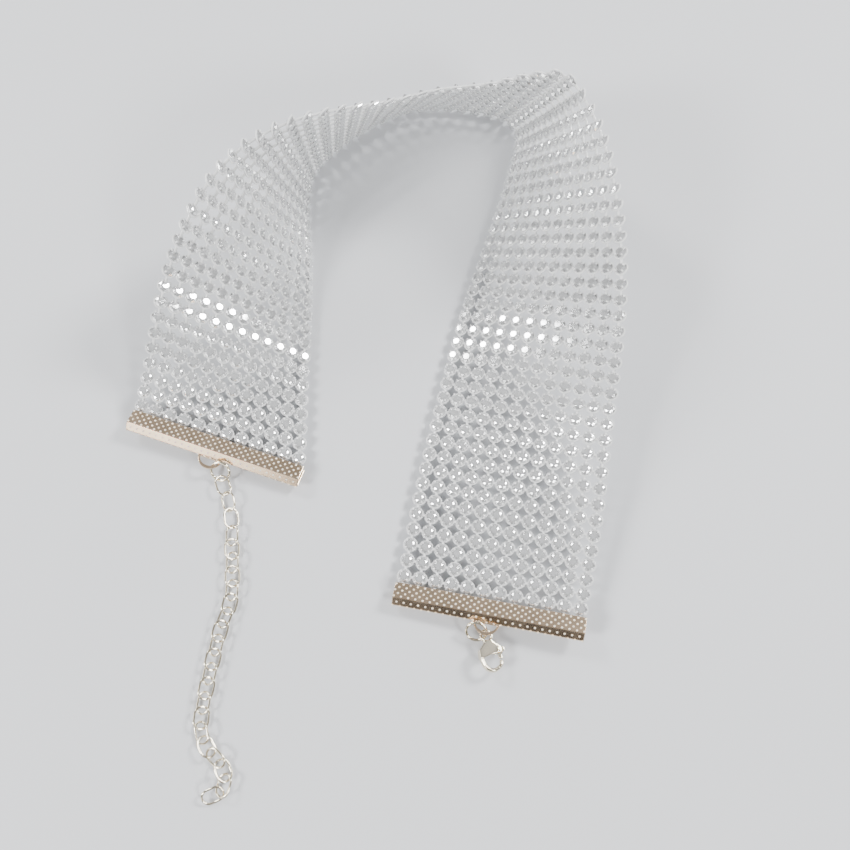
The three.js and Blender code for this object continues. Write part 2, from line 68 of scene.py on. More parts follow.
# A row for each section of the net from the clasp end: share of its length, place of the foot edge
# as shares of its length, the way a row of stones rises from the foot, and how far its stones are
# drawn apart or together
SECTION_COLUMNS = ("share", "foot_x", "foot_y", "across", "away", "up", "breadth")
BAND_SECTIONS = np.array((
    (0.0, -0.018, 0.104, 0.98, -0.19, 0.05, 1.02),
    (0.083, -0.002, 0.186, 0.96, -0.24, 0.12, 1.03),
    (0.167, 0.017, 0.267, 0.94, -0.25, 0.24, 1.0),
    (0.25, 0.038, 0.348, 0.86, -0.29, 0.43, 1.0),
    (0.333, 0.064, 0.427, 0.68, -0.33, 0.65, 1.0),
    (0.417, 0.088, 0.506, 0.42, -0.36, 0.83, 1.0),
    (0.458, 0.095, 0.547, 0.26, -0.37, 0.89, 1.0),
    (0.479, 0.085, 0.564, 0.24, -0.35, 0.9, 0.99),
    (0.5, 0.066, 0.572, 0.22, -0.39, 0.89, 1.0),
    (0.542, 0.025, 0.579, 0.22, -0.47, 0.85, 1.0),
    (0.583, -0.017, 0.576, 0.19, -0.49, 0.85, 1.0),
    (0.625, -0.054, 0.558, 0.16, -0.46, 0.87, 1.0),
    (0.667, -0.087, 0.533, 0.11, -0.38, 0.92, 1.0),
    (0.708, -0.113, 0.501, 0.01, -0.28, 0.96, 1.0),
    (0.75, -0.117, 0.459, -0.21, -0.16, 0.97, 1.0),
    (0.792, -0.114, 0.418, -0.42, -0.06, 0.91, 1.0),
    (0.833, -0.112, 0.376, -0.61, 0.02, 0.79, 0.96),
    (0.875, -0.112, 0.334, -0.78, 0.13, 0.62, 0.92),
    (0.917, -0.113, 0.293, -0.9, 0.23, 0.38, 0.91),
    (0.958, -0.113, 0.251, -0.95, 0.29, 0.16, 0.95),
    (1.0, -0.113, 0.209, -0.95, 0.32, 0.02, 1.02),
))

# Stones and cups, with heights above the net's middle face; the crown's break lies part of the way
# from the table's edge to the girdle, and a cup is wider than its stone by a share of its own wall
STONE_SIDES = 8
CROWN_SHARE = 0.45
TABLE_HEIGHT = 1.3 * MM
CROWN_HEIGHT = 1.1 * MM
GIRDLE_TOP = 0.62 * MM
GIRDLE_FOOT = 0.42 * MM
STONE_BACK = -0.75 * MM
BACK_WIDTH = 0.5 * MM
CUP_HEIGHT = 0.1 * MM
CUP_SPREAD = 1.2
CLAW_COUNT = 4
CLAW_HEIGHT = 0.92 * MM
CLAW_PLACE = 1.35 * MM
CLAW_SIZE = (1.15 * MM, 0.55 * MM, 0.6 * MM)

# Crimp clamps, in their own frame: X along the clamp, Y outwards from the net, Z up from its face.
# A dot's profile holds shares of its half width and height; the threads end at a share of the depth
CLAMP_LENGTH = 50 * MM
CLAMP_DEPTH = 5.6 * MM
CLAMP_THICKNESS = 3.0 * MM
CLAMP_WALL = 0.5 * MM
CLAMP_ROLL = math.radians(15)
CLAMP_LIP = 0.3 * MM
CLAMP_FOLD = CLAMP_LIP + CLAMP_DEPTH
FOLD_ROUND = 0.9 * MM
FOLD_LEAN = 1.3 * MM
CLAMP_EDGE = 0.12 * MM
DOT_PITCH = 1.9 * MM
DOT_ROW = 0.85 * MM
DOT_START = 0.45 * MM
FLAP_ROWS = 5
DOT_PROFILE = ((1.0, -0.15), (0.86, 0.5), (0.5, 0.9))
THREAD_GRIP = 0.4
TAB_WIDTH = 7.3 * MM
TAB_REACH = 4.3 * MM
TAB_BAR = 0.9 * MM
TAB_THICKNESS = 0.6 * MM
TAB_EDGE = 0.15 * MM
TAB_FOOT = CLAMP_FOLD - 2 * CLAMP_WALL
TAB_LOW = -CLAMP_THICKNESS / 2 + FOLD_ROUND / 2
FACE_POINT = Vector((12 * MM, 2.5 * MM, CLAMP_THICKNESS / 2))

# Wire pieces
RING_DIAMETER = 6.0 * MM
LINK_LENGTH = 6.0 * MM
LINK_WIDTH = 4.3 * MM
SPLIT_GAP = 0.06 * MM

# Lobster clasp, in its own frame: eye at the origin, hook along -Y, lever on the +X side
CLASP_DIP = math.radians(-6)
CLASP_ROLL = math.radians(14)
CLASP_TURN = math.radians(11)
CLASP_THICKNESS = 2.2 * MM
EYE_RADIUS = 1.425 * MM
EYE_WIRE = 0.75 * MM
HOOK_WIRE = 1.15 * MM
HOOK_BOTTOM = 8.825 * MM
HOOK_SIDE = 2.525 * MM
LEVER_THICKNESS = 0.86 * MM
LEVER_ROOT = 1.0 * MM
SLOT_HALF = 0.66 * MM
PIN_RADIUS = 0.42 * MM
PIVOT = Vector((HOOK_SIDE - 0.6 * MM, -0.45 * HOOK_BOTTOM, 0))
HOOK_TIP = Vector((HOOK_SIDE - 0.15 * MM, -0.76 * HOOK_BOTTOM, 0))
HOOK_TAPER = 0.22
HOOK_FLAT = 0.12 * MM
SHOULDER_FOOT = PIVOT.y - 0.8 * MM
SHOULDER_HEEL = PIVOT.y - 1.4 * MM
SHOULDER_TOP = PIVOT.y + 2.2 * MM
SHOULDER_HALF = 1.2 * MM
NECK_HALF = 0.9 * MM
CHEEK_REACH = 1.0 * MM
PIN_HEAD = 0.12 * MM
LEVER_REACH = 0.4 * MM
CAST_GRAIN = 0.085 * MM
BODY_ROUNDS = 9
LEVER_ROUNDS = 4

# Stage: a floor, a sky that brightens with height, soft lights and the camera over the clasp's side.
# The sky's two rows are height and brightness; a light is its name, place, aim, width and watts
CAMERA_PLACE = (14.52 * MM, -76.83 * MM, 240.14 * MM)
CAMERA_TILT = math.radians(17.1)
CAMERA_LENS = 38.12
FLOOR_SIZE = 3.0
SKY_COLOUR = (0.95, 0.97, 1.0, 1)
SKY_LOW = (0.15, 0.02)
SKY_HIGH = (0.8, 0.45)
LIGHTS = (
    ("key", (0.7, 0.4, 0.7), (0, 0, 0), 0.24, 12),
    ("fill", (-0.7, -0.35, 0.65), (0, 0, 0), 0.24, 10),
    ("front key", (0.55, -0.6, 0.7), (0, 0, 0), 0.24, 8),
    ("back fill", (-0.6, 0.55, 0.65), (0, 0, 0), 0.24, 6),
    ("low left", (-0.95, 0.0, 0.3), (0, 0, 0.02), 0.3, 2),
    ("low right", (0.95, 0.2, 0.35), (0, 0, 0.02), 0.3, 2),
    ("low back", (0.2, 0.95, 0.35), (0, 0, 0.02), 0.3, 2),
    ("low front", (-0.6, -0.68, 0.2), (-0.05, 0, 0.02), 0.28, 1.2),
)


# How the net lies


def section_values(column, share):
    """Smooth values of one column of the band's table at shares of its length."""
    shares = BAND_SECTIONS[:, 0]
    values = BAND_SECTIONS[:, SECTION_COLUMNS.index(column)]
    last = len(shares) - 1
    ahead = np.minimum(np.arange(last + 1) + 1, last)
    behind = np.maximum(np.arange(last + 1) - 1, 0)
    slopes = (values[ahead] - values[behind]) / (shares[ahead] - shares[behind])
    k = np.clip(np.searchsorted(shares, share) - 1, 0, last - 1)
    step = shares[k + 1] - shares[k]
    t = (share - shares[k]) / step
    return (
        (2 * t**3 - 3 * t**2 + 1) * values[k]
        + (t**3 - 2 * t**2 + t) * step * slopes[k]
        + (3 * t**2 - 2 * t**3) * values[k + 1]
        + (t**3 - t**2) * step * slopes[k + 1]
    )


def foot_place(share):
    """The foot edge's places before its length is set, at shares of the table."""
    share = np.atleast_1d(share)
    x = BAND_LENGTH * section_values("foot_x", share)
    y = BAND_LENGTH * section_values("foot_y", share)
    return np.stack((x, y, np.zeros_like(x)), axis=1)


foot_shares = np.linspace(0, 1, 801)
foot_steps = np.linalg.norm(np.diff(foot_place(foot_shares), axis=0), axis=1)
foot_lengths = np.concatenate(([0], np.cumsum(foot_steps)))
foot_scale = BAND_LENGTH / foot_lengths[-1]


def row_at(row):
    """Foot, rise, face and spacing of a row of stones; a row may lie a little beyond the ends."""
    last = STONE_ROWS - 1
    share = min(max(row / last, 0), 1)
    t = float(np.interp(share * foot_lengths[-1], foot_lengths, foot_shares))
    step = 1e-4
    ends = foot_place(np.array((max(t - step, 0), min(t + step, 1))))
    along = Vector(ends[1] - ends[0]).normalized()
    foot = Vector(foot_place(t)[0]) * foot_scale
    foot += along * ROW_PITCH * (row if row < 0 else max(row - last, 0))
    foot.z = FOOT_HEIGHT
    rise = Vector([section_values(name, share) for name in ("across", "away", "up")]).normalized()
    face = rise.cross(along).normalized()
    return foot, rise, face, STONE_PITCH * section_values("breadth", share)


def net_point(row, column, height=0.0):
    """A place on the net by its row and column, at a height above its middle face."""
    foot, rise, face, spacing = row_at(row)
    return foot + rise * column * spacing + face * height


def clamp_frame(end):
    """The clamp's frame at the edge of the net's end row."""
    edge = -0.5 if end == "right" else STONE_ROWS - 0.5
    _, rise, face, _ = row_at(edge)
    outwards = face.cross(rise)
    if end == "right":
        outwards.negate()
    y = outwards * math.cos(CLAMP_ROLL) + face * math.sin(CLAMP_ROLL)
    z = face * math.cos(CLAMP_ROLL) - outwards * math.sin(CLAMP_ROLL)
    turned = Matrix((y.cross(z), y, z)).transposed().to_4x4()
    return Matrix.Translation(net_point(edge, (STONES_ACROSS - 1) / 2)) @ turned


def mount_place(name):
    """A mount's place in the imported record."""
    mounts = {m["name"]: m for m in frame["record"]["mounts"]}
    return Vector(mounts[name]["pos_m"])


# The band's table has its own origin; the right clamp's face says where that lies in the part
band_shift = Matrix.Translation(mount_place("clamp_right_face") - clamp_frame("right") @ FACE_POINT)


# Meshes and pieces


def new_object(name, mesh):
    """An object at the origin that holds the mesh."""
    obj = bpy.data.objects.new(name, mesh)
    bpy.context.scene.collection.objects.link(obj)
    return obj


def mesh_from(name, places, faces, smooth=False):
    """A mesh from places and faces."""
    mesh = bpy.data.meshes.new(name)
    mesh.from_pydata([tuple(p) for p in places], [], faces)
    mesh.polygons.foreach_set("use_smooth", [smooth] * len(mesh.polygons))
    mesh.update()
    return mesh


def joined_mesh(name, meshes):
    """One mesh that holds all of these meshes, with their materials by slot."""
    whole = bmesh.new()
    slots = []
    for mesh in meshes:
        before = len(whole.faces)
        whole.from_mesh(mesh)
        whole.faces.ensure_lookup_table()
        finish = next((m for m in mesh.materials if m), None)
        if finish and finish not in slots:
            slots.append(finish)
        for face in whole.faces[before:]:
            face.material_index = slots.index(finish) if finish else 0
    result = bpy.data.meshes.new(name)
    whole.to_mesh(result)
    whole.free()
    for finish in slots:
        result.materials.append(finish)
    return result


def face_outwards(mesh):
    """Turns the faces of closed shells outwards."""
    shell = bmesh.new()
    shell.from_mesh(mesh)
    bmesh.ops.recalc_face_normals(shell, faces=shell.faces)
    shell.to_mesh(mesh)
    shell.free()
    return mesh


def prism(name, outline, low, high, smooth=False):
    """A closed prism over an outline of places in X and Y."""
    count = len(outline)
    places = [(x, y, z) for z in (low, high) for x, y in outline]
    faces = [tuple(range(count)), tuple(range(count, 2 * count))]
    for k in range(count):
        after = (k + 1) % count
        faces.append((k, after, count + after, count + k))
    return face_outwards(mesh_from(name, places, faces, smooth))


def swept(name, centres, outs, ups, half_out, half_up, section, closed):
    """A wire swept along centres, with its section's two half sizes given for each centre."""
    places = []
    faces = []
    count = len(centres)
    for k in range(count):
        for s in range(section):
            turn = 2 * math.pi * s / section
            places.append(centres[k] + outs[k] * half_out[k] * math.cos(turn)
                          + ups[k] * half_up[k] * math.sin(turn))
    for k in range(count if closed else count - 1):
        after = (k + 1) % count
        for s in range(section):
            up = (s + 1) % section
            faces.append((k * section + s, after * section + s, after * section + up, k * section + up))
    if not closed:
        faces.append(tuple(range(section)))
        faces.append(tuple((count - 1) * section + s for s in range(section)))
    return face_outwards(mesh_from(name, places, faces, True))


def oval_wire(name, length, width, wire, around=28, section=10, gap=0.0):
    """A wire bent to an oval in the XY plane, open by a gap at its +X end if one is given."""
    radius = (width - wire) / 2
    straight = (length - width) / 2
    opening = gap / max(radius, MM / 10)
    turns = [opening / 2 + (2 * math.pi - opening) * k / (around - (1 if gap else 0)) for k in range(around)]
    outs = [Vector((math.cos(t), math.sin(t), 0)) for t in turns]
    centres = [out * radius + Vector((math.copysign(straight, out.x), 0, 0)) for out in outs]
    ups = [Vector((0, 0, 1))] * around
    return swept(name, centres, outs, ups, [wire / 2] * around, [wire / 2] * around, section, not gap)


def with_modifiers(obj):
    """The object's mesh with its modifiers applied, and the object left out."""
    graph = bpy.context.evaluated_depsgraph_get()
    mesh = bpy.data.meshes.new_from_object(obj.evaluated_get(graph))
    bpy.data.objects.remove(obj)
    return mesh


def bevelled(mesh, width, segments=2):
    """The mesh with its sharp edges rounded."""
    obj = new_object("bevel_work", mesh)
    bevel = obj.modifiers.new("rounded edges", "BEVEL")
    bevel.width = width
    bevel.segments = segments
    bevel.limit_method = "ANGLE"
    return with_modifiers(obj)


def cast(meshes, grain, rounds):
    """Overlapping shells made one smooth cast skin."""
    obj = new_object("cast_work", joined_mesh("cast", meshes))
    remesh = obj.modifiers.new("one skin", "REMESH")
    remesh.mode = "VOXEL"
    remesh.voxel_size = grain
    remesh.use_smooth_shade = True
    soften = obj.modifiers.new("softened", "SMOOTH")
    soften.factor = 0.5
    soften.iterations = rounds
    return with_modifiers(obj)


def node_axes(name):
    """Centre and the long, broad and thin axes of a CAD node."""
    mesh = frame["nodes"][name].data
    places = np.array([v.co for v in mesh.vertices], float).reshape(-1, 3)
    places = np.unique(np.round(places, 6), axis=0)
    centre = places.mean(axis=0)
    axes = np.linalg.svd(places - centre, full_matrices=False)[2]
    return Vector(centre), [Vector(a) for a in axes]


def finish_piece(name, mesh, finishes, body, nodes):
    """The finished piece: its object, materials, body and the nodes it stands for."""
    mesh.name = name
    if not mesh.materials:
        for finish in finishes:
            mesh.materials.append(finish)
    piece = new_object(name, mesh)
    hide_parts(*nodes)
    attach(piece, body)
    return piece


# Geometry Nodes


def new_tree(name, inputs):
    """An empty tree with a geometry in and out, and named inputs of given socket types."""
    tree = bpy.data.node_groups.new(name, "GeometryNodeTree")
    tree.interface.new_socket("Geometry", in_out="INPUT", socket_type="NodeSocketGeometry")
    for label, kind in inputs:
        tree.interface.new_socket(label, in_out="INPUT", socket_type=kind)
    tree.interface.new_socket("Geometry", in_out="OUTPUT", socket_type="NodeSocketGeometry")
    return tree


def add_node(tree, kind, values=None, **settings):
    """A node with its settings, and its inputs linked or set by socket name."""
    node = tree.nodes.new(kind)
    for key, value in settings.items():
        setattr(node, key, value)
    for socket, value in (values or {}).items():
        if isinstance(value, (list, tuple)) and value and isinstance(value[0], bpy.types.NodeSocket):
            for one in value:
                tree.links.new(one, node.inputs[socket])
        elif isinstance(value, bpy.types.NodeSocket):
            tree.links.new(value, node.inputs[socket])
        else:
            node.inputs[socket].default_value = value
    return node


def guide_rotation(tree):
    """Turns a pattern's Z to the guide's face attribute and its X to the rise attribute."""
    face = add_node(tree, "GeometryNodeInputNamedAttribute", {"Name": "face"}, data_type="FLOAT_VECTOR")
    rise = add_node(tree, "GeometryNodeInputNamedAttribute", {"Name": "rise"}, data_type="FLOAT_VECTOR")
    turned = add_node(tree, "FunctionNodeAxesToRotation",
                      {"Primary Axis": face.outputs[0], "Secondary Axis": rise.outputs[0]},
                      primary_axis="Z", secondary_axis="X")
    return turned.outputs[0]


def pattern_on_guide(tree, points, pattern, rotation, finish, smooth):
    """A pattern object on each guide point that carries one, realized, with its material."""
    carries = add_node(tree, "GeometryNodeInputNamedAttribute", {"Name": "carries"}, data_type="BOOLEAN")
    shape = add_node(tree, "GeometryNodeObjectInfo", {"Object": pattern})
    copies = add_node(tree, "GeometryNodeInstanceOnPoints", {
        "Points": points, "Selection": carries.outputs[0],
        "Instance": shape.outputs["Geometry"], "Rotation": rotation})
    plain = add_node(tree, "GeometryNodeRealizeInstances", {"Geometry": copies.outputs[0]})
    shaded = add_node(tree, "GeometryNodeSetShadeSmooth", {
        "Geometry": plain.outputs[0], "Shade Smooth": smooth})
    painted = add_node(tree, "GeometryNodeSetMaterial", {"Geometry": shaded.outputs[0], "Material": finish})
    return painted.outputs[0]


def pattern_tree():
    """Copies of one pattern on guide points: the clamps' dots and the chain's links."""
    tree = new_tree("Pattern on guide", (("Pattern", "NodeSocketObject"), ("Finish", "NodeSocketMaterial")))
    given = tree.nodes.new("NodeGroupInput").outputs
    copies = pattern_on_guide(tree, given["Geometry"], given["Pattern"], guide_rotation(tree),
                              given["Finish"], True)
    add_node(tree, "NodeGroupOutput", {"Geometry": copies})
    return tree


def net_tree():
    """Stones and cups on the guide's points, and a thread along each of its edges."""
    tree = new_tree("Net of stones", (
        ("Stone", "NodeSocketObject"), ("Cup", "NodeSocketObject"), ("Thread width", "NodeSocketFloat"),
        ("Stone finish", "NodeSocketMaterial"), ("Cup finish", "NodeSocketMaterial")))
    given = tree.nodes.new("NodeGroupInput").outputs
    rotation = guide_rotation(tree)
    stones = pattern_on_guide(tree, given["Geometry"], given["Stone"], rotation, given["Stone finish"], False)
    cups = pattern_on_guide(tree, given["Geometry"], given["Cup"], rotation, given["Cup finish"], True)
    lines = add_node(tree, "GeometryNodeMeshToCurve", {"Mesh": given["Geometry"]})
    half = add_node(tree, "ShaderNodeMath", {0: given["Thread width"], 1: 0.5}, operation="MULTIPLY")
    section = add_node(tree, "GeometryNodeCurvePrimitiveCircle", {"Resolution": 5, "Radius": half.outputs[0]})
    threads = add_node(tree, "GeometryNodeCurveToMesh", {
        "Curve": lines.outputs[0], "Profile Curve": section.outputs["Curve"], "Fill Caps": True})
    plain = add_node(tree, "GeometryNodeRealizeInstances", {"Geometry": threads.outputs[0]})
    painted = add_node(tree, "GeometryNodeSetMaterial", {
        "Geometry": plain.outputs[0], "Material": given["Cup finish"]})
    whole = add_node(tree, "GeometryNodeJoinGeometry", {"Geometry": [stones, cups, painted.outputs[0]]})
    add_node(tree, "NodeGroupOutput", {"Geometry": whole.outputs[0]})
    return tree


def guide_mesh(name, points, edges=()):
    """A guide of points, each a place, a rise, a face and whether it carries a copy."""
    mesh = bpy.data.meshes.new(name)
    mesh.from_pydata([tuple(p[0]) for p in points], list(edges), [])
    for column, label in ((1, "rise"), (2, "face")):
        layer = mesh.attributes.new(label, "FLOAT_VECTOR", "POINT")
        layer.data.foreach_set("vector", [c for p in points for c in p[column]])
    layer = mesh.attributes.new("carries", "BOOLEAN", "POINT")
    layer.data.foreach_set("value", [p[3] for p in points])
    return mesh


def run_tree(tree, guide, inputs):
    """The tree's result on a guide mesh, as a plain mesh."""
    obj = new_object(guide.name, guide)
    modifier = obj.modifiers.new(tree.name, "NODES")
    modifier.node_group = tree
    keys = {item.name: item.identifier for item in tree.interface.items_tree if item.in_out == "INPUT"}
    for label, value in inputs.items():
        modifier[keys[label]] = value
    bpy.context.view_layer.update()
    return with_modifiers(obj)


# Finishes


def new_finish(name, colour, roughness, **values):
    """A material with a principled shader, its values set by socket name."""
    finish = bpy.data.materials.new(name)
    finish.use_nodes = True
    shader = finish.node_tree.nodes["Principled BSDF"]
    shader.inputs["Base Color"].default_value = (*colour, 1)
    shader.inputs["Roughness"].default_value = roughness
    for key, value in values.items():
        shader.inputs[key.replace("_", " ")].default_value = value
    return finish, finish.node_tree, shader


def noise(tree, scale, detail=2.0):
    """Noise over the piece's own coordinates."""
    place = add_node(tree, "ShaderNodeTexCoord")
    return add_node(tree, "ShaderNodeTexNoise",
                    {"Vector": place.outputs["Object"], "Scale": scale, "Detail": detail})


def vary(tree, shader, socket, source, low, high):
    """The socket follows the noise between two values."""
    spread = add_node(tree, "ShaderNodeMapRange", {
        "Value": source.outputs["Fac"], "From Min": 0.3, "From Max": 0.7, "To Min": low, "To Max": high})
    tree.links.new(spread.outputs[0], shader.inputs[socket])


def vary_colour(tree, shader, source, first, second):
    """The base colour follows the noise between two colours."""
    mix = add_node(tree, "ShaderNodeMixRGB", {
        "Fac": source.outputs["Fac"], "Color1": (*first, 1), "Color2": (*second, 1)})
    tree.links.new(mix.outputs[0], shader.inputs["Base Color"])


def bump(tree, shader, source, strength, distance):
    """Fine relief from the noise."""
    relief = add_node(tree, "ShaderNodeBump", {
        "Height": source.outputs["Fac"], "Strength": strength, "Distance": distance})
    tree.links.new(relief.outputs[0], shader.inputs["Normal"])


def shade(colour, factor):
    """A colour made darker or lighter."""
    return tuple(min(c * factor, 1) for c in colour)


def metal_finish(name, colour, roughness):
    """Plated metal, with soft patches in its polish and colour."""
    finish, tree, shader = new_finish(name, colour, roughness, Metallic=1.0)
    patches = noise(tree, scale=260)
    vary(tree, shader, "Roughness", patches, roughness * 0.9, roughness * 1.12)
    vary_colour(tree, shader, patches, shade(colour, 0.98), shade(colour, 1.02))
    bump(tree, shader, noise(tree, scale=2600), strength=0.03, distance=0.01 * MM)
    return finish


def clear_finish(name, colour, roughness, transmission, ior, foil):
    """Clear moulded stone or plastic, slightly cloudy in patches; foil gives it a silvery glint."""
    finish, tree, shader = new_finish(
        name, colour, roughness, Transmission_Weight=transmission, IOR=ior, Metallic=foil)
    cloud = noise(tree, scale=420)
    vary(tree, shader, "Roughness", cloud, roughness * 0.6, roughness * 1.5)
    vary_colour(tree, shader, cloud, shade(colour, 0.95), shade(colour, 1.04))
    return finish


# Sizes and colours that a user may change


class ChokerSizes(bpy.types.PropertyGroup):
    """Sizes of the choker's small parts."""

    stone_width: FloatProperty(
        name="Stone width", description="Width of a stone at its girdle",
        default=3.4 * MM, min=2 * MM, max=4 * MM, precision=5, unit="LENGTH")
    table_width: FloatProperty(
        name="Table width", description="Width of a stone's flat table",
        default=1.8 * MM, min=0.8 * MM, max=3 * MM, precision=5, unit="LENGTH")
    cup_wire: FloatProperty(
        name="Cup wall", description="Thickness of the ring cup round a stone",
        default=0.5 * MM, min=0.2 * MM, max=0.9 * MM, precision=5, unit="LENGTH")
    thread_width: FloatProperty(
        name="Thread width", description="Width of the threads between the cups",
        default=0.85 * MM, min=0.3 * MM, max=1.5 * MM, precision=5, unit="LENGTH")
    dot_width: FloatProperty(
        name="Dot width", description="Width of a raised dot on the clamps",
        default=0.64 * MM, min=0.3 * MM, max=1.2 * MM, precision=5, unit="LENGTH")
    dot_height: FloatProperty(
        name="Dot height", description="Height of a raised dot on the clamps",
        default=0.24 * MM, min=0.05 * MM, max=0.5 * MM, precision=5, unit="LENGTH")
    ring_wire: FloatProperty(
        name="Ring wire", description="Thickness of the jump rings' wire",
        default=0.75 * MM, min=0.4 * MM, max=1 * MM, precision=5, unit="LENGTH")
    link_wire: FloatProperty(
        name="Link wire", description="Thickness of the chain links' wire",
        default=0.58 * MM, min=0.3 * MM, max=0.8 * MM, precision=5, unit="LENGTH")


class ChokerColours(bpy.types.PropertyGroup):
    """Colours of the choker's finishes."""

    stone: FloatVectorProperty(
        name="Stone", description="Tint of the clear stones", subtype="COLOR",
        default=(0.96, 0.97, 0.97))
    cup: FloatVectorProperty(
        name="Cup", description="Tint of the clear cups and threads", subtype="COLOR",
        default=(0.98, 0.98, 0.97))
    clamp: FloatVectorProperty(
        name="Clamp", description="Plating of the clamps", subtype="COLOR", default=(0.76, 0.58, 0.41))
    # The dots' plating is lighter than the clamp's as a painted highlight
    dots: FloatVectorProperty(
        name="Dots", description="Plating of the clamps' dots, lightened as a painted highlight", subtype="COLOR",
        default=(0.95, 0.86, 0.73))
    wire: FloatVectorProperty(
        name="Wire", description="Plating of the rings, chain and clasp", subtype="COLOR",
        default=(0.84, 0.76, 0.6))
    floor: FloatVectorProperty(
        name="Floor", description="Colour of the floor", subtype="COLOR", default=(0.6, 0.61, 0.63))


def sizes():
    """The sizes set in this scene."""
    return bpy.context.scene.choker_sizes


def colours():
    """The colours set in this scene."""
    return bpy.context.scene.choker_colours


def finish_named(name):
    """The finish of this name, made when it is first asked for."""
    if name in bpy.data.materials:
        return bpy.data.materials[name]
    tint = colours()
    if name == "clear_stone":
        return clear_finish(name, tuple(tint.stone), roughness=0.07, transmission=0.5, ior=1.6, foil=0.5)
    if name == "clear_cup":
        return clear_finish(name, tuple(tint.cup), roughness=0.1, transmission=0.2, ior=1.5, foil=0.0)
    if name == "clamp_plate":
        return metal_finish(name, tuple(tint.clamp), roughness=0.24)
    # The dots' finish is the clamp's plating made lighter: a painted highlight
    if name == "dot_plate":
        return metal_finish(name, tuple(tint.dots), roughness=0.4)
    return metal_finish("wire_plate", tuple(tint.wire), roughness=0.12)


# Pattern shapes


def stone_shape():
    """A round cut stone: an eight sided table, and rows of three sided facets to girdle and back."""
    wide = sizes().stone_width / 2
    table = sizes().table_width / 2
    rings = (
        (table, TABLE_HEIGHT, 0.0),
        ((1 - CROWN_SHARE) * table + CROWN_SHARE * wide, CROWN_HEIGHT, 0.5),
        (wide, GIRDLE_TOP, 0.0),
        (wide, GIRDLE_FOOT, 0.0),
        (BACK_WIDTH / 2, STONE_BACK, 0.5),
    )
    sides = STONE_SIDES
    places = []
    for radius, height, shift in rings:
        for k in range(sides):
            turn = 2 * math.pi * (k + shift) / sides
            places.append((radius * math.cos(turn), radius * math.sin(turn), height))
    last = len(rings) - 1
    faces = [tuple(range(sides)), tuple(range(last * sides, last * sides + sides))]
    for ring in range(last):
        turned = rings[ring + 1][2] - rings[ring][2]
        for k in range(sides):
            after = (k + 1) % sides
            a, b = ring * sides + k, ring * sides + after
            c, d = a + sides, b + sides
            if turned > 0:
                faces += [(a, b, c), (b, d, c)]
            elif turned < 0:
                faces += [(a, b, d), (a, d, c)]
            else:
                faces.append((a, b, d, c))
    return face_outwards(mesh_from("stone", places, faces))


def bead(place, size):
    """A small round bead, its size given for each axis."""
    ball = bmesh.new()
    bmesh.ops.create_icosphere(ball, subdivisions=1, radius=0.5)
    for vertex in ball.verts:
        vertex.co = Vector([c * wide for c, wide in zip(vertex.co, size)]) + place
    mesh = bpy.data.meshes.new("bead")
    ball.to_mesh(mesh)
    ball.free()
    mesh.polygons.foreach_set("use_smooth", [True] * len(mesh.polygons))
    return mesh


def cup_shape():
    """A ring cup with four round claws that hold the stone's crown."""
    wide = sizes().stone_width
    wire = sizes().cup_wire
    across = wide + CUP_SPREAD * wire
    ring = oval_wire("cup", across, across, wire, around=12, section=5)
    ring.transform(Matrix.Translation((0, 0, CUP_HEIGHT)))
    claw = bead(Vector((CLAW_PLACE, 0, CLAW_HEIGHT)), CLAW_SIZE)
    claws = []
    for k in range(CLAW_COUNT):
        turned = claw.copy()
        turned.transform(Matrix.Rotation(2 * math.pi * (k + 0.5) / CLAW_COUNT, 4, "Z"))
        claws.append(turned)
    return joined_mesh("cup", [ring] + claws)


def dot_shape():
    """A low round dot."""
    around = 8
    wide = sizes().dot_width / 2
    high = sizes().dot_height
    rings = [(across * wide, up * high) for across, up in DOT_PROFILE]
    places = []
    for radius, height in rings:
        for k in range(around):
            turn = 2 * math.pi * k / around
            places.append((radius * math.cos(turn), radius * math.sin(turn), height))
    faces = [tuple(range(around)), tuple(range(2 * around, 3 * around))]
    for ring in range(2):
        for k in range(around):
            after = (k + 1) % around
            faces.append((ring * around + k, ring * around + after,
                          (ring + 1) * around + after, (ring + 1) * around + k))
    return face_outwards(mesh_from("dot", places, faces, True))


# Net


def net_guide(end):
    """Points and threads of one half of the net, whose last threads end in the clamp."""
    rows = list(range(JOIN_ROW)) if end == "right" else list(range(JOIN_ROW - 1, STONE_ROWS))
    bare_row = JOIN_ROW - 1 if end == "left" else None
    points = []
    places = {}

    def add(key, row, place, carries):
        _, rise, face, _ = row_at(row)
        places[key] = len(points)
        points.append((band_shift @ place, rise, face, carries))

    for row in rows:
        for column in range(STONES_ACROSS):
            add((row, column), row, net_point(row, column), row != bare_row)
    edges = []
    for row in rows:
        for column in range(STONES_ACROSS):
            if column + 1 < STONES_ACROSS and row != bare_row:
                edges.append((places[row, column], places[row, column + 1]))
            if (row + 1, column) in places:
                edges.append((places[row, column], places[row + 1, column]))
    last = 0 if end == "right" else STONE_ROWS - 1
    grip = clamp_frame(end)
    inwards = grip.inverted()
    for column in range(STONES_ACROSS):
        local = inwards @ net_point(last, column)
        seat = grip @ Vector((local.x, CLAMP_LIP + CLAMP_DEPTH * THREAD_GRIP, 0))
        add(("seat", column), last, seat, False)
        edges.append((places[last, column], places["seat", column]))
    return guide_mesh("net_guide_" + end, points, edges)


